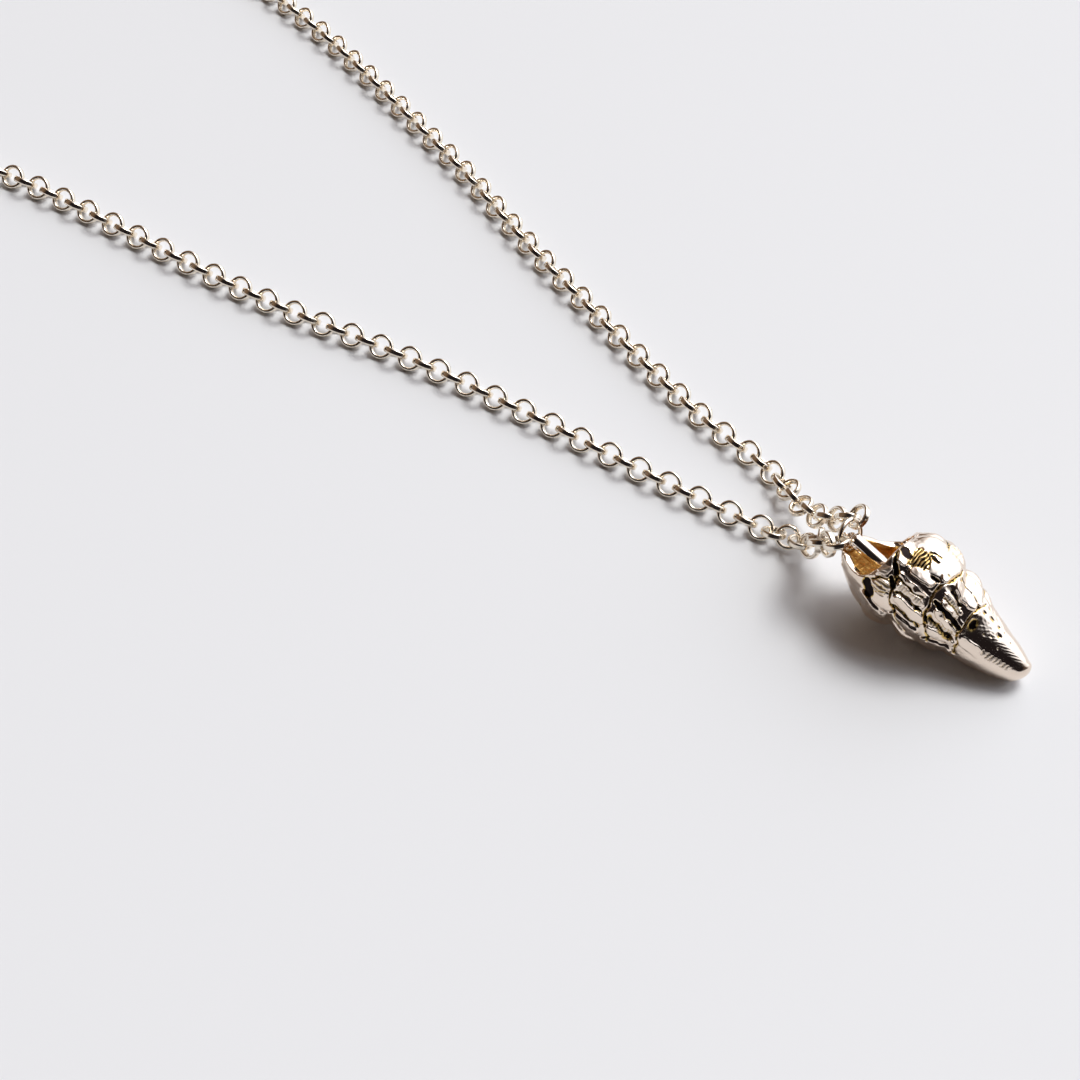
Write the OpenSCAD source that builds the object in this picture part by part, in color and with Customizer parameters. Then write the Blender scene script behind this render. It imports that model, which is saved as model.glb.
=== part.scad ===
// Necklace of round silver links with a cast seashell pendant, lying as it is put down on a table.
// The shell lies on its side along Y, its blunt tip towards -Y and its open front end towards +Y.

/* [Shell] */
// Length of the shell from its tip to its front end
shell_len = 21.3; // [21:0.1:22]
// Height of the middle of the shell's tip above the table
tip_height = 1.77; // [1.65:0.02:1.89]
// Angle by which the shell's axis rises from its tip to its front end
shell_rise = 17; // [16:0.5:18]
// Thickness of the cast wall
wall = 0.85; // [0.7:0.05:1]
// Distance from the tip to the inner end of the hollow
hollow_start = 9; // [8:0.5:11]
// Axial ribs in one turn of the shell
ribs = 16; // [12:1:20]
// Height of a rib over the crease beside it
rib_height = 0.3; // [0.1:0.05:0.4]
// Height of a whorl over the grooves at its two edges
whorl_height = 0.55; // [0.3:0.05:0.7]
// Height of each of a whorl's two bands over the groove between them
band_height = 0.25; // [0.1:0.05:0.35]

/* [Pillar] */
// Diameter of the smooth pillar in the middle of the shell
pillar_d = 1.4; // [1.2:0.05:1.5]
// How far the pillar's foot stands off the shell's axis
pillar_offset = 1.3; // [1:0.1:1.5]
// Thickness of the root that joins the pillar's head to the lip under it
root_d = 0.8; // [0.7:0.05:0.9]
// Diameter of the hole beside the pillar's head, which the middle ring goes through
hole_d = 1.4; // [1.3:0.05:1.45]

/* [Chain] */
// Outer diameter of a link
link_d = 2.6; // [2.5:0.05:2.7]
// Thickness of a link's flattened wire, from the link's inside to its outside
wire_d = 0.38; // [0.36:0.01:0.4]
// Width of a link's flattened wire
wire_w = 0.64; // [0.58:0.02:0.66]
// Outer diameter of the middle ring, which joins the two strands and holds the pendant
middle_d = 3.5; // [3.4:0.05:3.6]
// Diameter of the middle ring's round wire
middle_wire_d = 0.45; // [0.4:0.05:0.5]
// Links in the lower strand, from the clasp to the bend beside the pendant
lower_links = 109; // [109:2:111]
// Links in the upper strand, from the bend beside the pendant to the end ring
upper_links = 111; // [111:2:113]

/* [Clasp] */
// Outer diameter of the clasp's ring
clasp_d = 6; // [5.8:0.1:6.2]
// Diameter of the clasp's tube
clasp_tube_d = 1.1; // [1:0.05:1.2]
// Outer diameter of the clasp's small eye
eye_d = 2.4; // [2.3:0.05:2.5]
// Diameter of the eye's wire
eye_wire_d = 0.5; // [0.45:0.05:0.55]
// Outer diameter of the ring that the clasp holds
end_ring_d = 4; // [3.9:0.1:4.2]
// Diameter of that ring's wire
end_wire_d = 0.6; // [0.55:0.05:0.65]

/* [Hidden] */

// The origin is under the middle of the whole necklace, so the tip lies this far from it.
tip_at = [-23.04, -98.9, 0];

silver = [0.84, 0.82, 0.78];

// Mean outer radius along the shell: [distance from the tip, radius].
PROFILE = [
    [0, 0.05], [0.2, 0.66], [0.45, 1], [0.9, 1.34], [1.4, 1.58], [2.4, 1.96], [3.5, 2.28], [5, 2.7],
    [6.5, 3.1], [8.3, 3.58], [10, 4.1], [12, 4.66], [13.5, 4.88], [14.8, 4.95], [16, 4.75],
    [17.25, 4.3], [18.6, 3.6], [19.8, 2.7], [20.5, 1.85], [21, 1.15], [21.3, 0.7]
];

// Edge of the broken opening: [turn from the top towards +X, distance from the tip].
RIM = [
    [0, 16.6], [20, 16.3], [47, 16], [80, 16], [100, 16.2], [110, 16.8], [116, 17.7], [120, 18.6],
    [124, 19.5], [130, 20.3], [145, 21], [175, 21.3], [220, 21.3], [238, 21], [252, 20.6],
    [262, 19.9], [267, 19.2], [272, 18.6], [279, 18], [288, 17.6], [298, 17.4], [309, 17.2],
    [320, 17.1], [332, 17], [342, 16.9], [351, 16.75], [360, 16.6]
];

around = 80;
along = 46;
inner_along = 12;

// The grooves wind round a cone that would come to a point this far before the tip.
cone_before = 6.5;
// Each groove is further along than the one before by this power of the cone's growth.
groove_growth = 0.16;
groove_start = 0.32;
// The grooves lie a little askew to the axis: [distance, turn at which it is greatest less 90].
askew = [0.5, -50];

// Groove line that passes a point: whole numbers are the grooves, two in each turn of the shell.
function groove_line(w, turn) =
    ln((w - askew[0] * sin(turn - askew[1]) + cone_before) / cone_before) / groove_growth
        - turn / 180 + groove_start;
function part_of(x) = x - floor(x);
function hump(x, power) = 1 - pow(abs(2 * x - 1), power);
function ramp(x, from, to) = min(1, max(0, (x - from) / (to - from)));
// Relief fades out towards the smooth tip and over the front end.
function fade(w) = ramp(w, 6, 8.5) * ramp(w, 19.5, 17);

// The tip leans this far to one side, and the last whorl is this much flatter where it runs into
// the opening.
tip_lean = 0.35;
flat_depth = 1.3;
function lean(w, turn) = -tip_lean * ramp(w, 0, 1) * ramp(w, 10, 4) * cos(turn - 47)
    - flat_depth * pow(ramp(w, 13, 17), 1.5) * pow(max(0, cos(turn - 55)), 2);

function outer_r(w, turn) =
    let (line = groove_line(w, turn), band = part_of(line), whorl = part_of(line / 2),
         rib = part_of(ribs * turn / 360 + 0.5 * floor(line)))
    lookup(w, PROFILE) + lean(w, turn)
        + fade(w) * (whorl_height * (hump(pow(whorl, 0.8), 2) - 0.55)
        + band_height * (hump(band, 2) - 0.6)
        + rib_height * hump(band, 3) * (hump(rib, 2) - 0.6));
// The relief is about this deep on average, which the inside leaves out of the wall.
relief_mean = 0.15;
function inner_r(w) = max(0.3, lookup(w, PROFILE) - wall - relief_mean);

// The tip touches the table with its side this far from its end, under the origin.
tip_rest = 1.2;
// A point of the lying shell from its distance along the axis, its turn from the top and its radius.
function lay(w, turn, r) =
    let (x = r * sin(turn), up = r * cos(turn), a = w - tip_rest)
    [x, a * cos(shell_rise) - up * sin(shell_rise),
     tip_height + a * sin(shell_rise) + up * cos(shell_rise)];

// Thickness of the wall's edge round the opening, and the least thickness where the relief is deep.
rim_edge = 0.35;
least_wall = 0.5;

module cast_wall() {
    outer = [for (k = [1:along]) for (i = [0:around - 1])
        let (turn = 360 * i / around, w = lookup(turn, RIM) * pow(k / along, 0.9))
        lay(w, turn, outer_r(w, turn))];
    inner = [for (k = [0:inner_along - 1]) for (i = [0:around - 1])
        let (turn = 360 * i / around, edge = lookup(turn, RIM),
             w = edge - (edge - hollow_start) * pow(k / inner_along, 1.2))
        lay(w, turn, k == 0 ? outer_r(w, turn) - rim_edge
            : min(inner_r(w), outer_r(w, turn) - least_wall))];
    tip = lay(0, 0, 0);
    bottom = lay(hollow_start, 0, 0);
    points = concat([tip], outer, inner, [bottom]);
    rows = along + inner_along;
    last = len(points) - 1;
    function at(k, i) = 1 + k * around + i % around;
    faces = concat(
        [for (i = [0:around - 1]) [0, at(0, i), at(0, i + 1)]],
        [for (k = [0:rows - 2]) for (i = [0:around - 1]) [at(k, i), at(k + 1, i), at(k + 1, i + 1)]],
        [for (k = [0:rows - 2]) for (i = [0:around - 1]) [at(k, i), at(k + 1, i + 1), at(k, i + 1)]],
        [for (i = [0:around - 1]) [at(rows - 1, i), last, at(rows - 1, i + 1)]]
    );
    polyhedron(points, faces);
}

module rod(from, to, d) {
    run = to - from;
    translate(from) rotate([0, acos(run.z / norm(run)), atan2(run.y, run.x)])
        cylinder(d = d, h = norm(run), $fn = 32);
}

// The pillar runs from the bottom of the hollow to the front end, and the hole is in the rim beside
// it. Each end: [distance from the tip, turn from the top, distance from the axis].
pillar_foot = [hollow_start - 1, -92, pillar_offset];
pillar_head = [shell_len - 0.5, 235, 0.15];
root_top = [shell_len - 0.7, 235, 0.15];
root_end = [shell_len - 0.7, 168, 1.35];
hole_out = [21.2, 251, 1.6];
hole_in = [19.7, 213, 1.4];
function place(end) = lay(end[0], end[1], end[2]);

module shell() {
    color(silver) translate(tip_at) difference() {
        union() {
            cast_wall();
            rod(place(pillar_foot), place(pillar_head), pillar_d);
            rod(place(root_top), place(root_end), root_d);
        }
        rod(place(hole_out), place(hole_in), hole_d);
    }
}

// Middle of the clasp's ring on the table, from the tip of the shell.
clasp_at = [25.3, 196.1];
clasp_roll = 20;
// How deep the eye's outside runs into the clasp's tube, where it is soldered.
eye_solder = 0.35;
// The end ring's middle is this far from the clasp's.
end_ring_out = 2.9;

// Way of the lower strand over the table, from the clasp to the bend beside the pendant.
LOWER = [
    [20.2, 196.1], [14.3, 195], [7.8, 191.1], [1.3, 183.6], [-3.2, 173.6], [-5.7, 162.1],
    [-6.2, 150.1], [-5.2, 138.1], [-3.9, 128.1], [-2.9, 119.7], [-2.3, 111.9], [-2.2, 100.7],
    [-2.1, 90.2], [-1.5, 80.5], [-0.3, 71.3], [0.3, 64.7], [0.6, 57.8], [0.8, 50.2], [0.8, 43.2],
    [0.9, 36.4], [1.1, 31.1], [1.3, 27.6]
];
// Way of the upper strand, from the bend beside the pendant to the end ring.
UPPER = [
    [8.4, 29.9], [9.2, 32.3], [9.95, 35.6], [10.9, 39.1], [12, 42.2], [13.2, 45.3], [16.1, 52.4],
    [19, 59.1], [21.3, 64.6], [25, 72.3], [28.6, 79.6], [32.3, 88.4], [35.7, 96.6], [39.3, 106.1],
    [42, 115.1], [44.6, 124.1], [47.8, 135.1], [50.8, 147.1], [52.3, 159.1], [51.3, 171.1],
    [47.8, 181.6], [42.5, 189.8], [36.1, 194.6], [30.2, 196.1]
];

// Links in the bend beside the pendant, from the lower strand up to the middle ring and down again:
// [x, y and height of the link's middle, direction in which its axis leans, lean from upright].
BEND = [
    [1.24, 26.21, 1.29, 25, 30], [1.39, 24.77, 1.53, -170, 64], [1.43, 23.47, 1.68, 28, 24],
    [0.82, 22.36, 2.47, 151, 76], [0.68, 21.73, 3.78, 31, 65], [-0.09, 21.39, 4.87, 108, 96],
    [-1.11, 21.08, 5.85, 38, 48], [-1.75, 20.25, 6.82, 141, 86], [-2.06, 19.4, 7.83, 64, 39],
    [-0.1, 18.82, 7.46, -102, 61], [1.8, 19.03, 8.19, 119, 56], [2.08, 19.97, 7.07, 28, 60],
    [2.37, 20.93, 5.94, 139, 65], [2.78, 22.07, 4.86, 18, 59], [3.36, 23.12, 3.95, 123, 54],
    [4.2, 24.12, 3.16, -13, 52], [4.91, 25.3, 2.49, 101, 36], [5.74, 26.48, 2.11, -27, 57],
    [6.9, 27.45, 1.58, 108, 37], [7.74, 28.52, 1.07, -29, 40]
];
// The middle ring is this one of them.
middle = 9;

link_r = (link_d - wire_d) / 2;
wire_flat = wire_w - wire_d;
// A link leans over its neighbour by 45 degrees, and this is how high its middle lies then.
link_rest = link_r * sin(45) + wire_flat / 2 * cos(45) + wire_d / 2;
// The last link before the clasp or the end ring is lifted by the bigger ring that it holds.
link_lift = 0.09;

// A ring of round wire.
module ring(outer_d, wire) {
    rotate_extrude($fn = 48) translate([(outer_d - wire) / 2, 0]) circle(d = wire, $fn = 16);
}

// A ring of wire with flat inside and outside and round edges, as links are made of.
module flat_ring(outer_d) {
    rotate_extrude($fn = 48) translate([(outer_d - wire_d) / 2, 0]) {
        square([wire_d, wire_flat], center = true);
        for (side = [-1, 1])
            translate([0, side * wire_flat / 2]) circle(d = wire_d, $fn = 16);
    }
}

// A smooth line through points, in small steps.
function before(p, k) = k > 0 ? p[k - 1] : 2 * p[0] - p[1];
function after(p, k) = k < len(p) - 1 ? p[k + 1] : 2 * p[k] - p[k - 1];
function smooth(p, steps = 8) = concat([for (k = [0:len(p) - 2]) for (j = [0:steps - 1])
    let (f = j / steps, a = before(p, k), b = p[k], c = p[k + 1], d = after(p, k + 1))
    0.5 * (2 * b + (c - a) * f + (2 * a - 5 * b + 4 * c - d) * f * f
        + (3 * b - a - 3 * c + d) * f * f * f)], [p[len(p) - 1]]);
// How far along the line each of its points is.
function runs(p) = [for (k = 0, s = 0; k < len(p);
    s = s + (k < len(p) - 1 ? norm(p[k + 1] - p[k]) : 0), k = k + 1) s];

// Links at equal distances along a strand, leaning to the left and to the right in turn.
module strand(way, count, first_side, lifted) {
    line = smooth(way);
    run = runs(line);
    xs = [for (k = [0:len(line) - 1]) [run[k], line[k].x]];
    ys = [for (k = [0:len(line) - 1]) [run[k], line[k].y]];
    pitch = run[len(run) - 1] / (count - 1);
    for (i = [0:count - 1]) {
        s = i * pitch;
        way_on = [lookup(s + pitch, xs) - lookup(s - pitch, xs),
            lookup(s + pitch, ys) - lookup(s - pitch, ys)];
        lift = i == lifted ? link_lift : 0;
        translate([lookup(s, xs), lookup(s, ys), link_rest + lift])
            rotate([first_side * (i % 2 == 0 ? 45 : -45), 0, atan2(way_on.y, way_on.x)])
                flat_ring(link_d);
    }
}

module chain() {
    color(silver) translate(tip_at) {
        strand(LOWER, lower_links, 1, 0);
        for (k = [0:len(BEND) - 1])
            translate([BEND[k][0], BEND[k][1], BEND[k][2]]) rotate([0, BEND[k][4], BEND[k][3]])
                if (k == middle) ring(middle_d, middle_wire_d);
                else flat_ring(link_d);
        strand(UPPER, upper_links, -1, upper_links - 1);
    }
}

// The clasp's ring rests on its low side, with its small eye soldered on.
module clasp() {
    low = (clasp_d - clasp_tube_d) / 2 * sin(clasp_roll) + clasp_tube_d / 2;
    color(silver) translate(tip_at) translate([clasp_at.x, clasp_at.y, low]) rotate([clasp_roll, 0, 0]) {
        ring(clasp_d, clasp_tube_d);
        translate([eye_solder - (clasp_d + eye_d) / 2, 0, 0]) ring(eye_d, eye_wire_d);
    }
}

module end_ring() {
    low = (end_ring_d - end_wire_d) / 2 * sin(45) + end_wire_d / 2;
    color(silver) translate(tip_at) translate([clasp_at.x + end_ring_out, clasp_at.y, low])
        rotate([-45, 0, 0]) ring(end_ring_d, end_wire_d);
}

shell();
chain();
clasp();
end_ring();
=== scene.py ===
import math

import bpy
import numpy as np
from mathutils import Matrix, Vector


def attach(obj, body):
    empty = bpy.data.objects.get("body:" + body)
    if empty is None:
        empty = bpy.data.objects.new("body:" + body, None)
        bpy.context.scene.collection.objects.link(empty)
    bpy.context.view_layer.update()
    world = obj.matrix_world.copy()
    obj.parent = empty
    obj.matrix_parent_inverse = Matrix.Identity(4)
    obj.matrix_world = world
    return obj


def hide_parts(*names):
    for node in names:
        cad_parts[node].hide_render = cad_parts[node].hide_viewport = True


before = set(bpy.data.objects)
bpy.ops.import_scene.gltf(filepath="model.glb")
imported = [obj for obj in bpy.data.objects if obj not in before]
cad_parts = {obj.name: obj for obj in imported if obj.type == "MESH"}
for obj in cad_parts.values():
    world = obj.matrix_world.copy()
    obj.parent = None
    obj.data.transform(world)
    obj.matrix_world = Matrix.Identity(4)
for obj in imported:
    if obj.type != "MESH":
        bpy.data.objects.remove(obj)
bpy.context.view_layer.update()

# Table: a plain pale sheet that the necklace lies on. It is a bought board with a dull coat. The
# room round it is dim and brown, darkest behind the camera, with a white wall to the right and a
# bright window in the grey ceiling, which polished metal shows as white and dark stripes.
TABLE_HALF = 8
TABLE_COLOUR = (0.80, 0.80, 0.815, 1)

table_mesh = bpy.data.meshes.new("table")
table_mesh.from_pydata(
    [(-TABLE_HALF, -TABLE_HALF, 0), (TABLE_HALF, -TABLE_HALF, 0),
     (TABLE_HALF, TABLE_HALF, 0), (-TABLE_HALF, TABLE_HALF, 0)], [], [(0, 1, 2, 3)])
table = bpy.data.objects.new("table", table_mesh)
bpy.context.scene.collection.objects.link(table)

table_coat = bpy.data.materials.new("dull_table_coat")
table_coat.use_nodes = True
table_shader = table_coat.node_tree.nodes["Principled BSDF"]
table_shader.inputs["Base Color"].default_value = TABLE_COLOUR
table_shader.inputs["Roughness"].default_value = 0.6
table_shader.inputs["Specular IOR Level"].default_value = 0.25
table_mesh.materials.append(table_coat)

BLACK = (0, 0, 0, 1)
room = bpy.data.worlds.new("dim_room")
bpy.context.scene.world = room
room.use_nodes = True
room_nodes, room_links = room.node_tree.nodes, room.node_tree.links
room_way = room_nodes.new("ShaderNodeTexCoord")
# The two colour inputs and the colour output of a Mix node.
MIX_FIRST, MIX_SECOND, MIX_RESULT = 6, 7, 2


def room_part(name, towards, inner, outer, inner_colour, outer_colour=BLACK):
    """A round part of the room with a soft edge between two angles, in degrees from its middle."""
    turn_to = room_nodes.new("ShaderNodeVectorMath")
    turn_to.label, turn_to.operation = name, "DOT_PRODUCT"
    turn_to.inputs[1].default_value = Vector(towards).normalized()
    tone = room_nodes.new("ShaderNodeMapRange")
    tone.inputs["From Min"].default_value = math.cos(math.radians(outer))
    tone.inputs["From Max"].default_value = math.cos(math.radians(inner))
    mix = room_nodes.new("ShaderNodeMix")
    mix.data_type = "RGBA"
    mix.inputs[MIX_FIRST].default_value = outer_colour
    mix.inputs[MIX_SECOND].default_value = inner_colour
    room_links.new(room_way.outputs["Generated"], turn_to.inputs[0])
    room_links.new(turn_to.outputs["Value"], tone.inputs["Value"])
    room_links.new(tone.outputs["Result"], mix.inputs[0])
    return mix.outputs[MIX_RESULT]


room_parts = [
    room_part("dark_corner", (-0.62, -0.50, 0.45), 50, 85, (0.014, 0.011, 0.012, 1),
              (0.18, 0.118, 0.078, 1)),
    room_part("white_wall", (0.78, -0.30, 0.55), 37, 51, (1.36, 1.44, 1.56, 1)),
    room_part("ceiling", (0.42, -0.22, 0.88), 22, 36, (0.38, 0.38, 0.40, 1)),
    room_part("window", (0.483, -0.129, 0.866), 11, 15, (10.4, 10.5, 10.3, 1)),
]
room_sum = room_parts[0]
for part in room_parts[1:]:
    both = room_nodes.new("ShaderNodeMix")
    both.data_type, both.blend_type = "RGBA", "ADD"
    both.inputs[0].default_value = 1
    room_links.new(room_sum, both.inputs[MIX_FIRST])
    room_links.new(part, both.inputs[MIX_SECOND])
    room_sum = both.outputs[MIX_RESULT]
room_links.new(room_sum, room_nodes["Background"].inputs["Color"])

# The camera stands to the left of the pendant's tip and looks 50 degrees down at it.
CAMERA_PLACE = (-0.14036, -0.10281, 0.1383)
CAMERA_RIGHT = Vector((0.5177, -0.8502, 0.0955))
CAMERA_UP = Vector((0.6256, 0.4523, 0.6357))
CAMERA_LOOK = Vector((0.5836, 0.2694, -0.766))
camera_data = bpy.data.cameras.new("camera")
camera_data.sensor_width = 36
camera_data.lens = 62.6
camera_data.clip_start = 0.005
camera = bpy.data.objects.new("camera", camera_data)
bpy.context.scene.collection.objects.link(camera)
camera.matrix_world = Matrix.Translation(CAMERA_PLACE) @ Matrix(
    (CAMERA_RIGHT, CAMERA_UP, -CAMERA_LOOK)).transposed().to_4x4()
bpy.context.scene.camera = camera
bpy.context.scene.view_settings.view_transform = "Standard"

# Seashell: one silver casting of a worn shell that broke open at its wide end, its wall under a
# millimetre. The ridges are rubbed bright, the creases keep gold and have black shade painted in, and
# the inside keeps a gold wash. The chain's middle ring goes round the head of its pillar and carries it.
MM = 0.001
# Lengths are in millimetres. A place on the shell is w, along its axis from the tip, and turn, in
# degrees round it from the top. The axis rises from the tip, and is TIP_HEIGHT up at w = TIP_REST.
TIP_AT = np.array([-23.04, -98.9, 0])
TIP_HEIGHT = 1.77
TIP_REST = 1.2
SHELL_RISE = math.radians(17)
WALL = 0.85
HOLLOW_START = 9
# The shell's outer radius, [w, radius], and where its broken lip ends, [turn, w].
PROFILE = np.array([
    [0, 0.05], [0.2, 0.66], [0.45, 1], [0.9, 1.34], [1.4, 1.58], [2.4, 1.96], [3.5, 2.28], [5, 2.7],
    [6.5, 3.1], [8.3, 3.58], [10, 4.1], [12, 4.66], [13.5, 4.88], [14.8, 4.95], [16, 4.75],
    [17.25, 4.3], [18.6, 3.6], [19.8, 2.7], [20.5, 1.85], [21, 1.15], [21.3, 0.7]])
RIM = np.array([
    [0, 16.6], [20, 16.3], [47, 16], [80, 16], [100, 16.2], [110, 16.8], [116, 17.7], [120, 18.6],
    [124, 19.5], [130, 20.3], [145, 21], [175, 21.3], [220, 21.3], [238, 21], [252, 20.6],
    [262, 19.9], [267, 19.2], [272, 18.6], [279, 18], [288, 17.6], [298, 17.4], [309, 17.2],
    [320, 17.1], [332, 17], [342, 16.9], [351, 16.75], [360, 16.6]])


def smooth_line(x, places):
    """A smooth curve through places, as a cast surface has no kinks."""
    px, py = places[:, 0], places[:, 1]
    steps = np.diff(px)
    slopes = np.diff(py) / steps
    at_point = np.empty(len(px))
    at_point[1:-1] = np.where(slopes[:-1] * slopes[1:] > 0,
                              2 * slopes[:-1] * slopes[1:] / (slopes[:-1] + slopes[1:] + 1e-12), 0)
    at_point[0], at_point[-1] = slopes[0], slopes[-1]
    k = np.clip(np.searchsorted(px, x) - 1, 0, len(px) - 2)
    f = np.clip((x - px[k]) / steps[k], 0, 1)
    return (py[k] * (1 + 2 * f) * (1 - f) ** 2 + py[k + 1] * f * f * (3 - 2 * f)
            + steps[k] * (at_point[k] * f * (1 - f) ** 2 + at_point[k + 1] * f * f * (f - 1)))


def ramp(x, start, end):
    """0 at the start, 1 at the end, straight between them."""
    return np.clip((x - start) / (end - start), 0, 1)


def ease(x, start, end):
    """0 at the start, 1 at the end, with a soft curve between them."""
    f = ramp(x, start, end)
    return f * f * (3 - 2 * f)


def hump(x, power):
    """1 at one half, 0 at 0 and at 1. A higher power makes its top flatter."""
    return 1 - np.abs(2 * x - 1) ** power


# The grooves wind round a cone with its point GROOVE_CONE before the tip, leaning a little askew.
# From one groove to the next, the distance from that point grows by exp(GROOVE_GROWTH).
GROOVE_CONE, GROOVE_GROWTH, GROOVE_START = 6.5, 0.16, 0.32
GROOVE_ASKEW, ASKEW_TURN = 0.5, -50


def groove_line(w, turn):
    """Whole numbers are the grooves, two in each turn of the shell."""
    askew = GROOVE_ASKEW * np.sin(np.radians(turn - ASKEW_TURN))
    away = np.maximum(w - askew + GROOVE_CONE, 0.1)
    return np.log(away / GROOVE_CONE) / GROOVE_GROWTH - turn / 180 + GROOVE_START


# Unevenness is the sum of some waves, each at its own angle. A whole number of each goes round the
# shell, counted where it is WAVES_RADIUS thick, and the sum is brought back to about 1.
WAVES, WAVES_RADIUS, WAVES_SUM = 7, 4.4, 2.6


def wander(w, turn, per_mm, start):
    """Uneven waves between about -1 and 1, the same each time."""
    made = np.random.default_rng(start)
    total = np.zeros_like(w)
    for _ in range(WAVES):
        angle, size, shift = made.uniform(0, 2 * np.pi), made.uniform(0.6, 1.5), made.uniform(0, 6.28)
        total = total + np.sin(2 * np.pi * per_mm * size * np.cos(angle) * w
                               + round(2 * np.pi * WAVES_RADIUS * per_mm * size * np.sin(angle))
                               * np.radians(turn) + shift)
    return total / WAVES_SUM


# The tip leans away from one side, the wide end is worn flat on another, and the shoulder over the
# lip's lower corner is cut back underneath. The numbers in each ramp and ease are the places along
# and round the axis where it starts and where it is full.
TIP_LEAN, TIP_LEAN_TURN = 0.35, 47
FLAT_DEPTH, FLAT_TURN = 1.3, 55
CUT_BACK = 0.40


def plain_form(w, turn, radius):
    """The shell's outer radius before anything stands on it or is cut into it."""
    r = radius - TIP_LEAN * ease(w, 0, 1) * ramp(w, 10, 4) * np.cos(np.radians(turn - TIP_LEAN_TURN))
    r = r - FLAT_DEPTH * ramp(w, 13, 17) ** 1.5 * np.clip(np.cos(np.radians(turn - FLAT_TURN)), 0, 1) ** 2
    return r - (CUT_BACK * ease(-turn, 86, 112) * ease(-turn, 150, 125)
                * ease(w, 11.5, 13.5) * ease(w, 19, 17.5))


# One side has lobes of its own round LOBED_TURN, and beyond LOBED_TO degrees from there it gives
# way to evenly spaced ribs, which have it all from RIBBED_FROM degrees on.
LOBED_TURN, LOBED_TO, RIBBED_FROM = -58, 68, 90
# A whorl is one turn of the shell, and a band is half of it, from groove to groove. Among the lobes
# both are lower by these shares.
WHORL_HEIGHT, BAND_HEIGHT = 0.55, 0.25
LOWER_RELIEF, LOWER_BAND = 0.35, 0.5
RIB_HEIGHT, RIBS = 0.3, 16
# How wide the painted black shade in a groove is, as a share of the way to the next one, between
# bands and between ribs, and how dark the painted shade between ribs is beside the one between bands.
BAND_GROOVE, RIB_GROOVE, RIB_DARK = 0.09, 0.10, 0.6


def lobed_side(turn):
    """1 on the side with lobes of their own, 0 on the side with evenly spaced ribs."""
    away = np.abs((turn - LOBED_TURN + 180) % 360 - 180)
    return 1 - ease(away, LOBED_TO, RIBBED_FROM)


def spiral(w, turn, lobed):
    """Height of the whorls, their bands and the ribs on these, and how deep in a groove it is."""
    line = groove_line(w, turn)
    band = line - np.floor(line)
    whorl = line / 2 - np.floor(line / 2)
    rib = RIBS * turn / 360 + 0.5 * np.floor(line)
    rib = rib - np.floor(rib)
    fade = ease(w, 6, 8.5) * ease(w, 19.5, 17)
    # What is taken off each hump is about its mean, so that the profile stays as it is.
    bands = BAND_HEIGHT * (hump(band, 2) - 0.6) * (1 - LOWER_BAND * lobed)
    relief = (WHORL_HEIGHT * (hump(whorl ** 0.8, 2) - 0.55) + bands) * (1 - LOWER_RELIEF * lobed)
    ribbed = RIB_HEIGHT * hump(band, 3) * (hump(rib, 2) - 0.6)
    # Painted shade in the grooves between bands and between ribs.
    by_band = ease(np.minimum(band, 1 - band), BAND_GROOVE, 0.0)
    by_rib = RIB_DARK * ease(np.minimum(rib, 1 - rib), RIB_GROOVE, 0.0) * hump(band, 2)
    return fade * (relief + (1 - lobed) * ribbed), (1 - lobed) * fade * (by_band + by_rib)


# The lobes that show on one side: [front end w, its turn, back end w, its turn, half width,
# height, lean, how much wider its back end is than its middle]. A lobe is higher at its lower
# edge than at its upper one by twice its lean, and the other way round if that is below 0.
LOBES = [
    (14.9, -67, 10.9, -71.5, 0.50, 0.22, -0.07, 0.28), (15.9, -43.5, 12.4, -46, 0.33, 0.20, -0.12, 0),
    (15.3, -30.5, 12.5, -29, 0.52, 0.27, 0.17, 0), (15.4, -53.5, 12.1, -55, 0.40, 0.14, -0.09, 0),
    (11.2, -50, 7.9, -65, 0.32, 0.23, -0.08, 0), (11.2, -37, 8.9, -40.5, 0.35, 0.24, 0.17, 0),
    (11.4, -29, 8.7, -34.5, 0.26, 0.16, -0.03, 0), (11.1, -8, 7.9, -10, 0.74, 0.17, 0.05, 0),
    (10.8, -76, 7.3, -84, 0.46, 0.22, -0.06, 0), (10.4, -98, 7.1, -101, 0.50, 0.20, -0.11, 0),
    (7.8, -66, 4.6, -72, 0.62, 0.09, -0.03, 0), (14.2, -89, 10.8, -94, 0.62, 0.20, -0.13, 0.2),
    (17.4, -98, 13.9, -104, 1.00, 0.24, -0.13, 0), (17.3, -58, 16.4, -44, 0.38, 0.16, -0.08, 0),
    (17.2, -68, 15.5, -66, 0.66, 0.13, -0.03, 0), (16.9, -27, 15.7, -29.5, 0.36, 0.22, 0.14, 0),
    (13.4, -112, 10.2, -118, 0.62, 0.15, 0, 0), (12.6, -13, 11.7, -14, 0.45, 0.15, 0.05, 0),
]
# How far the ground between the lobes lies below the plain form.
LOBE_GROUND = 0.10
# Lobes and creases wander by this much along and round the axis, as they do in a worn shell.
WANDER_W, WANDER_TURN, WANDER_PER_MM = 0.05, 0.8, 0.8


def lobe_height(w, turn, radius):
    """Height of the highest lobe at each place. Lobes are long rounded squares with soft edges."""
    top = np.zeros_like(w)
    for front, front_turn, back, back_turn, half, height, lean, wider in LOBES:
        middle, length = (front + back) / 2, (front - back) / 2
        u = (w - middle) / length
        line = (front_turn + back_turn) / 2 + (front_turn - back_turn) / 2 * u
        v = np.radians((turn - line + 180) % 360 - 180) * radius / (half * (1 - wider * np.clip(u, -1, 1)))
        inside = 1 - np.abs(u) ** 4 - np.abs(v) ** 2.4
        top = np.maximum(top, (height - lean * v) * ease(inside, -0.02, 0.42))
    return top


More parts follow.
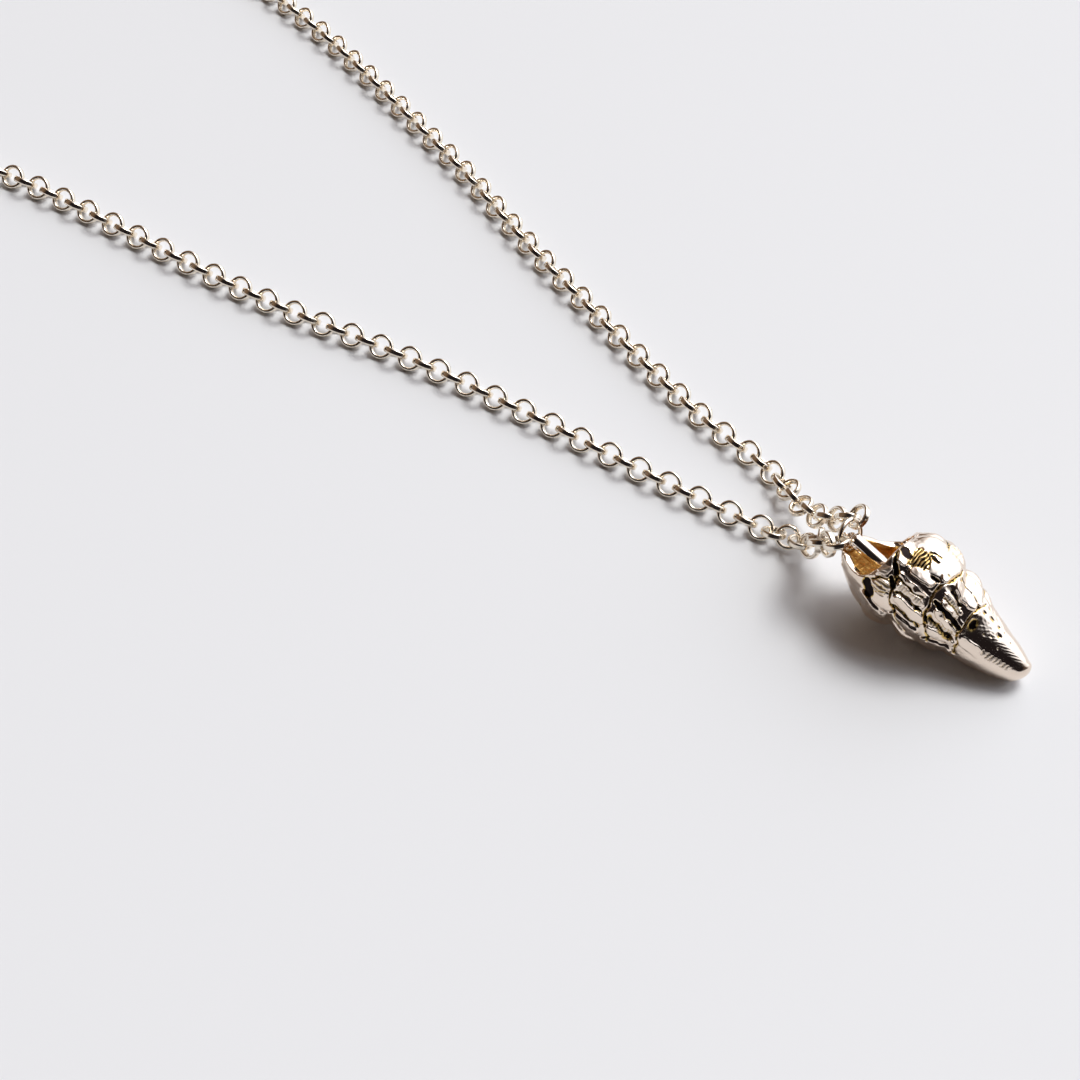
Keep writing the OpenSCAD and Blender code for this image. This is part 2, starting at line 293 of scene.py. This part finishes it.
# The creases between them: half width, depth, and the places [w, turn] that each passes.
CREASES = [
    (0.13, 0.24, [(17.2, -20), (16.7, -33), (16.2, -42), (15.6, -49), (15.3, -57), (15.2, -65),
                  (14.9, -72), (14.5, -77), (13.8, -83), (13.2, -90), (12.4, -97), (11.7, -104)]),
    (0.12, 0.22, [(11.0, 14), (11.3, -4), (11.6, -16), (12.1, -26), (12.2, -35), (12.1, -43),
                  (11.7, -52), (11.7, -61), (11.2, -70), (10.6, -78), (10.1, -86), (9.5, -97)]),
    (0.10, 0.17, [(7.4, 12), (7.8, -5), (8.0, -18), (8.1, -30), (8.0, -43), (7.9, -53), (8.0, -61),
                  (7.8, -67), (7.4, -75), (7.1, -92), (6.8, -104)]),
    (0.09, 0.11, [(17.2, -68), (16.8, -60), (16.2, -55)]),
    (0.06, 0.08, [(16.3, -78), (16.0, -70), (15.3, -68)]),
    (0.12, 0.16, [(14.9, -62), (14.2, -60), (13.6, -59), (12.5, -62)]),
    (0.14, 0.15, [(14.3, -79), (13.5, -77), (12.5, -79), (11.2, -81)]),
    (0.08, 0.10, [(15.6, -47.5), (14.2, -49), (12.6, -49)]),
    (0.07, 0.09, [(11.2, -33.5), (10.0, -34), (9.0, -38)]),
    (0.26, 0.22, [(10.9, -62), (10.1, -66), (9.5, -69), (8.9, -72), (8.3, -76)]),
    (0.13, 0.16, [(13.2, -24), (12.5, -22)]),
    (0.06, 0.09, [(15.8, -5), (15.4, 0), (14.1, -11), (13.9, -20), (15.6, -27), (15.8, -5)]),
    (0.09, 0.14, [(14.6, 0), (14.0, 3), (13.4, 2)]), (0.14, 0.18, [(14.35, -3), (13.8, -6), (13.4, -7)]),
    (0.07, 0.10, [(11.0, 6), (10.2, 3), (9.2, 1), (8.3, -3), (7.8, -6)]),
]
# How much a crease's width varies along it.
CREASE_UNEVEN, UNEVEN_PER_MM = 0.45, 0.6

# Smooth hollows with a flat floor between lobes, given as the creases are after how deep in painted
# shade each is, from 0 for bare metal to 1.4 for painted black shade all over.
HOLLOWS = [
    (0.0, 0.30, 0.08, [(15.4, -37), (14.2, -38.5), (13.2, -39.5), (12.3, -39)]),
    (1.3, 0.26, 0.13, [(11.5, -43.5), (10.1, -46), (9.1, -49), (8.2, -54)]),
    (0.0, 0.38, 0.11, [(11.1, -20), (10.4, -22), (9.6, -24), (8.7, -27), (8.4, -36)]),
    (1.3, 0.17, 0.06, [(10.9, -20.5), (10.2, -22.5), (9.4, -24.5)]),
    (1.4, 0.28, 0.16, [(16.0, -52), (15.4, -58)]), (1.4, 0.26, 0.16, [(16.4, -37), (15.9, -44)]),
    (1.4, 0.52, 0.12, [(17.3, -78), (16.6, -84)]), (1.4, 0.44, 0.12, [(16.6, -16), (16.0, -20)]),
    (1.3, 0.20, 0.14, [(13.1, -24), (12.5, -23)]), (1.3, 0.14, 0.12, [(11.3, -65), (10.9, -71)]),
    (1.2, 0.13, 0.10, [(12.5, -63), (12.0, -62)]),
]
# The most painted shade that a place takes: black all over.
BLACKEST = 1.4


def off_line(w, turn, radius, places):
    """Distance over the surface to a line through places."""
    nearest = np.full(w.shape, 99.0)
    for (w_a, turn_a), (w_b, turn_b) in zip(places[:-1], places[1:]):
        run_w, run_turn = w_b - w_a, math.radians(turn_b - turn_a) * radius
        to_w, to_turn = w - w_a, np.radians((turn - turn_a + 180) % 360 - 180) * radius
        f = np.clip((to_w * run_w + to_turn * run_turn) / (run_w ** 2 + run_turn ** 2), 0, 1)
        nearest = np.minimum(nearest, np.hypot(to_w - f * run_w, to_turn - f * run_turn))
    return nearest


# Small pits of wear: [w, turn, half length, half width, depth]. Those deeper than BLACK_PIT_DEPTH
# are painted black inside as shade, and the others are mostly gold.
PITS = [
    (6.0, -36, 0.14, 0.14, 0.07), (4.7, -18, 0.28, 0.25, 0.15), (6.1, 0, 0.38, 0.20, 0.13),
    (5.1, 0, 0.22, 0.18, 0.11), (7.1, -5, 0.26, 0.20, 0.12), (10.7, 2, 0.20, 0.14, 0.10),
    (9.2, 1, 0.14, 0.12, 0.08), (12.0, -10, 0.22, 0.12, 0.10), (7.35, -36, 0.46, 0.70, 0.26),
    (16.2, -66, 0.13, 0.13, 0.12), (5.3, -31, 0.12, 0.10, 0.06), (4.1, -41, 0.10, 0.12, 0.06),
    (9.3, 22, 0.16, 0.12, 0.08), (12.8, 30, 0.2, 0.14, 0.08), (3.4, -8, 0.10, 0.08, 0.05),
    (8.3, -3, 0.12, 0.10, 0.07), (4.4, 1, 0.12, 0.08, 0.06), (6.8, 14, 0.2, 0.12, 0.08),
]
BLACK_PIT_DEPTH = 0.2
BLACK_PIT, GOLD_PIT = 1.25, 0.62

# Worn patches with fine ridges: [w, turn, half length, half turn, depth, ridges in a millimetre
# along the axis, ridges in a degree round it]. The deeper the ridges, the more gold, and black painted
# as shade, lies between them, and the deepest patch is golden all over.
WORN = [
    (14.85, -13, 0.96, 13.5, 0.080, 3.2, 0.03), (16.2, -66, 0.85, 12, 0.030, 0.4, 0.22),
    (13.7, -53, 1.60, 5, 0.024, 3.0, 0.02), (9.6, -66, 1.50, 5, 0.028, 2.8, -0.03),
    (10.1, -32, 1.30, 4.5, 0.026, 3.2, 0.05), (16.9, -51, 0.45, 9, 0.020, 1.2, 0.20),
    (3.6, -66, 1.90, 9, 0.022, 2.3, 0.01), (15.0, -100, 1.20, 10, 0.018, 0.6, 0.16),
    (4.4, -32, 3.40, 10, 0.009, 1.7, 0.11), (12.8, 26, 1.20, 12, 0.022, 2.2, 0.04),
]
SHADE_BETWEEN, GOLD_ALL_OVER = 1.25, 0.55

# The casting's skin is never quite even: [height, waves in a millimetre, which waves, the w where
# they start and where they are full].
SKIN_WAVES = [(0.016, 0.55, 3, 1, 6), (0.007, 1.5, 4, 3, 7)]


def surface(w, turn):
    """Outer radius of the shell, how deep in a crease each place is, and how worn."""
    turn = (turn + 180) % 360 - 180
    radius = smooth_line(w, PROFILE)
    lobed = lobed_side(turn)
    relief, deep = spiral(w, turn, lobed)
    w_near = w + WANDER_W * wander(w, turn, WANDER_PER_MM, 1)
    turn_near = turn + WANDER_TURN * wander(w, turn, WANDER_PER_MM, 2)
    lobes = lobed * ease(w, 3.5, 6.5) * ease(w, 18.2, 17.2)
    r = plain_form(w, turn, radius) + relief
    r = r + lobes * (lobe_height(w_near, turn_near, radius) - LOBE_GROUND)
    uneven = 1 + CREASE_UNEVEN * wander(w, turn, UNEVEN_PER_MM, 5)
    for half, depth, places in CREASES:
        cut = np.exp(-(off_line(w_near, turn_near, radius, places) / (half * uneven)) ** 2)
        r = r - depth * cut
        deep = np.maximum(deep, cut)
    for black, half, depth, places in HOLLOWS:
        floor = np.exp(-(off_line(w_near, turn_near, radius, places) / half) ** 6)
        r = r - depth * floor
        deep = np.maximum(deep, black * floor)
    for pit_w, pit_turn, half_length, half_width, depth in PITS:
        u = (w - pit_w) / half_length
        v = np.radians(turn - pit_turn) * radius / half_width
        cut = np.exp(-(np.abs(u) ** 2.6 + np.abs(v) ** 2.6))
        r = r - depth * cut
        deep = np.maximum(deep, (BLACK_PIT if depth > BLACK_PIT_DEPTH else GOLD_PIT) * cut)
    worn = np.zeros_like(w)
    for mid_w, mid_turn, half_w, half_turn, depth, per_mm, per_degree in WORN:
        away = np.maximum(np.abs(w_near - mid_w) / half_w, np.abs(turn_near - mid_turn) / half_turn)
        inside = 1 - ease(away, 0.7, 1.0)
        wave = np.sin(2 * np.pi * (per_mm * w_near + per_degree * turn_near))
        r = r + depth * inside * wave
        # Painted shade: black in the troughs between the ridges.
        deep = np.maximum(deep, SHADE_BETWEEN * inside * ramp(depth, 0.0, 0.07) * ease(wave, 0.4, -0.7))
        deep = np.maximum(deep, GOLD_ALL_OVER * inside * ramp(depth, 0.05, 0.07))
        worn = np.maximum(worn, inside * ramp(depth, 0, 0.02))
    for height, per_mm, start, from_w, full_w in SKIN_WAVES:
        r = r + height * wander(w, turn, per_mm, start) * ease(w, from_w, full_w)
    return r, np.clip(deep, 0, BLACKEST), worn


def lay(w, turn, r):
    """A point of the lying shell in metres, from its place along and round the axis."""
    turn = np.radians(turn)
    x, up, along = r * np.sin(turn), r * np.cos(turn), w - TIP_REST
    y = along * math.cos(SHELL_RISE) - up * math.sin(SHELL_RISE)
    z = TIP_HEIGHT + along * math.sin(SHELL_RISE) + up * math.cos(SHELL_RISE)
    return (np.stack([x, y, z], -1) + TIP_AT) * MM


# The wall is made in rows from the tip over the outside, round the lip and down the inside. Its
# columns stand closer together round FRONT_TURN, the side that the camera sees.
AROUND, ALONG, LIP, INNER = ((340, 230, 6, 36))
FRONT_TURN, CROWDING = -42, 0.12
s = np.arange(AROUND) / AROUND * 2 - 1
TURNS = FRONT_TURN + 180 * (s - CROWDING * np.sin(np.pi * s))

# The lip is worn into a notch beside the pillar's head, where the middle ring passes.
NOTCH_DEPTH, NOTCH_TURN, NOTCH_HALF = 1.6, 224, 26
edge = smooth_line(TURNS % 360, RIM)
edge = edge - NOTCH_DEPTH * np.exp(-(((TURNS % 360) - NOTCH_TURN) / NOTCH_HALF) ** 4)

# The rows stand a little closer together at the lip, outside and inside.
OUTER_SPREAD, INNER_SPREAD = 0.92, 1.1
outer_w = edge[None, :] * (np.arange(1, ALONG + 1)[:, None] / ALONG) ** OUTER_SPREAD
outer_turn = np.broadcast_to(TURNS, outer_w.shape)
outer_r, deep, worn = surface(outer_w, outer_turn)
rows = list(zip(outer_w, outer_r))

LIP_THICK, LIP_ROUND = 0.40, 0.16
edge_w, edge_r = rows[-1]
inside_edge = edge_r - LIP_THICK
for k in range(1, LIP):
    a = math.pi * k / LIP
    middle, half = (edge_r + inside_edge) / 2, (edge_r - inside_edge) / 2
    rows.append((edge_w + LIP_ROUND * math.sin(a), middle + half * math.cos(a)))
outer_rows = len(rows)

# The inside is bumpy. Its plain form lies BUMP_ROOM deeper than the wall is thick, the wall behind
# the lip is THIN_WALL or more everywhere, and the first rows lead over from the lip to it.
BUMP_HEIGHT, BUMPS_PER_MM, BUMP_ROOM = 0.10, 0.45, 0.15
THIN_WALL = 0.45
LEAST_HOLLOW = 0.3
LEAD_ROWS = 4
for k in range(INNER):
    w = edge_w - (edge_w - HOLLOW_START) * (k / INNER) ** INNER_SPREAD
    plain = smooth_line(w, PROFILE) - WALL - BUMP_ROOM
    bumps = BUMP_HEIGHT * wander(w, TURNS, BUMPS_PER_MM, 6)
    r = np.minimum(np.maximum(LEAST_HOLLOW, plain + bumps), surface(w, TURNS)[0] - THIN_WALL)
    lead = ease(k, 0, LEAD_ROWS)
    rows.append((w, inside_edge * (1 - lead) + r * lead))

points = np.concatenate([lay(np.zeros(1), np.zeros(1), np.zeros(1))]
                        + [lay(w, TURNS, r) for w, r in rows]
                        + [lay(np.full(1, float(HOLLOW_START)), np.zeros(1), np.zeros(1))])

# The casting's materials in the order of their slots. The gold wash starts this many rows inside
# the lip.
RUBBED, GILT, PILLAR = 0, 1, 2
SILVER_LIP = INNER // 12


def ring_of(first):
    """The points of a row and the next ones round it, in pairs."""
    return [(first + i, first + (i + 1) % AROUND) for i in range(AROUND)]


faces = [(0, after, before) for before, after in ring_of(1)]
slot_of = [RUBBED] * AROUND
for k in range(len(rows) - 1):
    row, next_row = ring_of(1 + k * AROUND), ring_of(1 + (k + 1) * AROUND)
    faces += [(a, b, d, c) for (a, b), (c, d) in zip(row, next_row)]
    slot_of += [GILT if k >= outer_rows - 1 + SILVER_LIP else RUBBED] * AROUND
faces += [(before, after, len(points) - 1) for before, after in ring_of(1 + (len(rows) - 1) * AROUND)]
slot_of += [GILT] * AROUND


def sweep(path, radii, sides):
    """A round bar along a path, closed at both ends: its points and faces."""
    bar_points, bar_faces = [], []
    for k, (place, radius) in enumerate(zip(path, radii)):
        ahead = np.array(path[min(k + 1, len(path) - 1)]) - np.array(path[max(k - 1, 0)])
        ahead = ahead / np.linalg.norm(ahead)
        side = np.cross(ahead, [0.1, 0.2, 1.0])
        side = side / np.linalg.norm(side)
        other = np.cross(side, ahead)
        for i in range(sides):
            t = 2 * math.pi * i / sides
            bar_points.append(np.array(place) + radius * (side * math.cos(t) + other * math.sin(t)))
    for k in range(len(path) - 1):
        for i in range(sides):
            j = (i + 1) % sides
            bar_faces.append((k * sides + i, (k + 1) * sides + i, (k + 1) * sides + j, k * sides + j))
    bar_faces.append(tuple(range(sides)))
    bar_faces.append(tuple((len(path) - 1) * sides + i for i in range(sides - 1, -1, -1)))
    return bar_points, bar_faces


def straight(start, end, shares):
    """Points on the way from one place [w, turn, r] to another."""
    first, last = lay(*np.array(start)), lay(*np.array(end))
    return [first + (last - first) * f for f in shares]


# The pillar in the middle of the shell grows out of the hollow's end, where it is swollen, and is
# rounded off at its head. A short root, waisted in its middle, joins its head to the lip.
PILLAR_FOOT, PILLAR_HEAD = (8.0, -92.0, 1.3), (20.8, 235.0, 0.15)
PILLAR_RADIUS, PILLAR_SIDES = 0.7, 40
FOOT_SWELL, SWELL_AT, SWELL_HALF = 0.35, 0.08, 0.10
ROUND_FROM, ROUND_OVER = 0.975, 0.025
ROOT_TOP, ROOT_END = (20.6, 235.0, 0.15), (20.6, 168.0, 1.35)
ROOT_RADIUS, ROOT_SWELL, ROOT_SIDES = 0.4, 0.25, 24


def pillar_radius(f):
    """The pillar's radius in metres at a share of the way from its foot to its head."""
    swell = FOOT_SWELL * math.exp(-((f - SWELL_AT) / SWELL_HALF) ** 2)
    rounded = math.sqrt(max(1e-4, 1 - max(0, (f - ROUND_FROM) / ROUND_OVER) ** 2))
    return MM * (PILLAR_RADIUS + swell) * rounded


def root_radius(f):
    """The root's radius in metres at a share of the way from the pillar's head to the lip."""
    return ROOT_RADIUS * MM * (1 + ROOT_SWELL * (2 * f - 1) ** 2)


steps = np.linspace(0, 1, 40)
pillar = sweep(straight(PILLAR_FOOT, PILLAR_HEAD, steps), [pillar_radius(f) for f in steps], PILLAR_SIDES)
steps = np.linspace(0, 1, 8)
root = sweep(straight(ROOT_TOP, ROOT_END, steps), [root_radius(f) for f in steps], ROOT_SIDES)
for bar_points, bar_faces in (pillar, root):
    faces += [tuple(len(points) + p for p in face) for face in bar_faces]
    slot_of += [PILLAR] * len(bar_faces)
    points = np.concatenate([points, bar_points])

shell_mesh = bpy.data.meshes.new("shell_casting")
shell_mesh.from_pydata([tuple(p) for p in points], [], faces)
shell_mesh.polygons.foreach_set("material_index", slot_of)
shell_mesh.polygons.foreach_set("use_smooth", [True] * len(faces))
for name, values in (("crease", deep), ("worn", worn)):
    whole = np.zeros(len(points))
    whole[1:1 + ALONG * AROUND] = values.ravel()
    shell_mesh.attributes.new(name, "FLOAT", "POINT").data.foreach_set("value", whole)
shell = bpy.data.objects.new("seashell_casting", shell_mesh)
bpy.context.scene.collection.objects.link(shell)


def give(tree, value, socket):
    """Set a socket to a number or a colour, or link another socket to it."""
    if isinstance(value, bpy.types.NodeSocket):
        tree.links.new(value, socket)
    else:
        socket.default_value = value


def mixed(tree, amount, first, second):
    """A colour between two others."""
    mix = tree.nodes.new("ShaderNodeMix")
    mix.data_type = "RGBA"
    for value, socket in ((amount, 0), (first, MIX_FIRST), (second, MIX_SECOND)):
        give(tree, value, mix.inputs[socket])
    return mix.outputs[MIX_RESULT]


def worked_out(tree, operation, *values):
    """What an operation makes of two or three numbers."""
    step = tree.nodes.new("ShaderNodeMath")
    step.operation = operation
    for value, socket in zip(values, step.inputs):
        give(tree, value, socket)
    return step.outputs[0]


def between(tree, value, start, end, least=0, most=1):
    """The least at the start, the most at the end, straight between them."""
    tone = tree.nodes.new("ShaderNodeMapRange")
    for given, socket in ((value, "Value"), (start, "From Min"), (end, "From Max"),
                          (least, "To Min"), (most, "To Max")):
        give(tree, given, tone.inputs[socket])
    return tone.outputs["Result"]


def noise(tree, where, scale, detail, roughness=0.5):
    """Soft random tones between 0 and 1."""
    tones = tree.nodes.new("ShaderNodeTexNoise")
    for given, socket in ((where, "Vector"), (scale, "Scale"), (detail, "Detail"), (roughness, "Roughness")):
        give(tree, given, tones.inputs[socket])
    return tones.outputs["Fac"]


# Metal that was handled: fine scratches and dents, and spots where the polish has gone dull. The
# spots' grain is this share of the dents' grain, so they are almost three times as wide.
SPOT_SHARE = 0.35
DULL_FROM, DULL_FULL = 0.45, 0.75
metal_skin = bpy.data.node_groups.new("metal_skin", "ShaderNodeTree")
for name, kind in (("Vector", "NodeSocketVector"), ("Grain per metre", "NodeSocketFloat"),
                   ("Depth", "NodeSocketFloat"), ("Polish", "NodeSocketFloat"),
                   ("Dull", "NodeSocketFloat")):
    metal_skin.interface.new_socket(name, in_out="INPUT", socket_type=kind)
for name, kind in (("Roughness", "NodeSocketFloat"), ("Normal", "NodeSocketVector"),
                   ("Spots", "NodeSocketFloat")):
    metal_skin.interface.new_socket(name, in_out="OUTPUT", socket_type=kind)
given = metal_skin.nodes.new("NodeGroupInput").outputs
gives = metal_skin.nodes.new("NodeGroupOutput").inputs
spots = noise(metal_skin, given["Vector"],
              worked_out(metal_skin, "MULTIPLY", given["Grain per metre"], SPOT_SHARE), 2)
bump = metal_skin.nodes.new("ShaderNodeBump")
bump.inputs["Strength"].default_value = 1
dents = noise(metal_skin, given["Vector"], given["Grain per metre"], 4, 0.6)
give(metal_skin, dents, bump.inputs["Height"])
give(metal_skin, given["Depth"], bump.inputs["Distance"])
give(metal_skin, between(metal_skin, spots, DULL_FROM, DULL_FULL, given["Polish"], given["Dull"]),
     gives["Roughness"])
give(metal_skin, bump.outputs["Normal"], gives["Normal"])
give(metal_skin, spots, gives["Spots"])


def metal(name, colour, dark_colour, grain, depth, polish, dull, metallic=1):
    """A metal with that skin, a little darker where it is dull."""
    made = bpy.data.materials.new(name)
    made.use_nodes = True
    tree = made.node_tree
    shader = tree.nodes["Principled BSDF"]
    shader.inputs["Metallic"].default_value = metallic
    skin = tree.nodes.new("ShaderNodeGroup")
    skin.node_tree = metal_skin
    give(tree, tree.nodes.new("ShaderNodeTexCoord").outputs["Object"], skin.inputs["Vector"])
    for socket, value in (("Grain per metre", grain), ("Depth", depth), ("Polish", polish), ("Dull", dull)):
        skin.inputs[socket].default_value = value
    shade = mixed(tree, skin.outputs["Spots"], colour, dark_colour)
    give(tree, shade, shader.inputs["Base Color"])
    give(tree, skin.outputs["Roughness"], shader.inputs["Roughness"])
    give(tree, skin.outputs["Normal"], shader.inputs["Normal"])
    return made, shader, skin, shade


# The outside: rubbed silver, with gold left in the creases and black painted into their deepest
# parts as shade, in specks, and rougher and hammered there and where it is worn.
CREASE_GOLD = (0.72, 0.50, 0.16, 1)
PAINTED_CREASE_SHADE = (0.013, 0.009, 0.009, 1)
GOLD_FROM, GOLD_FULL = 0.30, 0.62
SHADE_FROM, SHADE_FULL = 0.20, 0.38
SPECKS_PER_METRE = 3600
CREASE_ROUGHER = 0.24
PLAIN_DEPTH, HAMMER_DEPTH = 0.000005, 0.000022
rubbed_silver, shader, skin, shade = metal(
    "rubbed_cast_silver", (0.91, 0.80, 0.69, 1), (0.85, 0.71, 0.59, 1),
    grain=2300, depth=PLAIN_DEPTH, polish=0.09, dull=0.20)
tree = rubbed_silver.node_tree
crease = tree.nodes.new("ShaderNodeAttribute")
crease.attribute_name = "crease"
worn_skin = tree.nodes.new("ShaderNodeAttribute")
worn_skin.attribute_name = "worn"
specks = noise(tree, tree.nodes.new("ShaderNodeTexCoord").outputs["Object"], SPECKS_PER_METRE, 1)
gold_amount = between(tree, crease.outputs["Fac"], GOLD_FROM, GOLD_FULL)
# Painted shade: black laid over the gold where the crease value, less the specks, is high.
painted_shade_amount = between(tree, worked_out(tree, "SUBTRACT", crease.outputs["Fac"], specks),
                       SHADE_FROM, SHADE_FULL)
gilt = mixed(tree, gold_amount, shade, CREASE_GOLD)
give(tree, mixed(tree, painted_shade_amount, gilt, PAINTED_CREASE_SHADE), shader.inputs["Base Color"])
creased = worked_out(tree, "MAXIMUM", crease.outputs["Fac"], worn_skin.outputs["Fac"])
give(tree, worked_out(tree, "MULTIPLY_ADD", creased, CREASE_ROUGHER, skin.outputs["Roughness"]),
     shader.inputs["Roughness"])
give(tree, worked_out(tree, "MULTIPLY_ADD", creased, HAMMER_DEPTH, PLAIN_DEPTH), skin.inputs["Depth"])

# The inside keeps the gold wash, hammered and duller. Some of the wash is not bright metal, so it
# shows its own colour as well as what it reflects. The pillar is rubbed smooth by the ring.
gold_wash = metal("gold_wash", (1.0, 0.72, 0.25, 1), (0.86, 0.38, 0.05, 1),
                  grain=1500, depth=0.00030, polish=0.08, dull=0.26, metallic=0.66)[0]
pillar_silver = metal("polished_pillar_silver", (0.93, 0.84, 0.75, 1), (0.88, 0.77, 0.66, 1),
                      grain=1800, depth=0.000003, polish=0.05, dull=0.12)[0]
for made in (rubbed_silver, gold_wash, pillar_silver):
    shell_mesh.materials.append(made)
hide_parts("shell")
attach(shell, "root")

# Chain, clasp and end ring: links of flattened silver wire, bent round, closed and soldered, with
# a clasp of thicker tube and an end ring that it hooks into. All are polished, then a little worn.
chain_silver = metal("polished_wire_silver", (0.95, 0.87, 0.76, 1), (0.86, 0.77, 0.64, 1),
                     grain=2000, depth=0.000004, polish=0.14, dull=0.30)[0]
clasp_silver = metal("polished_clasp_silver", (0.90, 0.84, 0.77, 1), (0.84, 0.76, 0.68, 1),
                     grain=1100, depth=0.000005, polish=0.07, dull=0.18)[0]
for name, made in (("chain", chain_silver), ("clasp", clasp_silver), ("end_ring", clasp_silver)):
    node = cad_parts[name]
    node.data.materials.clear()
    node.data.materials.append(made)
    node.data.polygons.foreach_set("use_smooth", [True] * len(node.data.polygons))

bpy.context.view_layer.update()
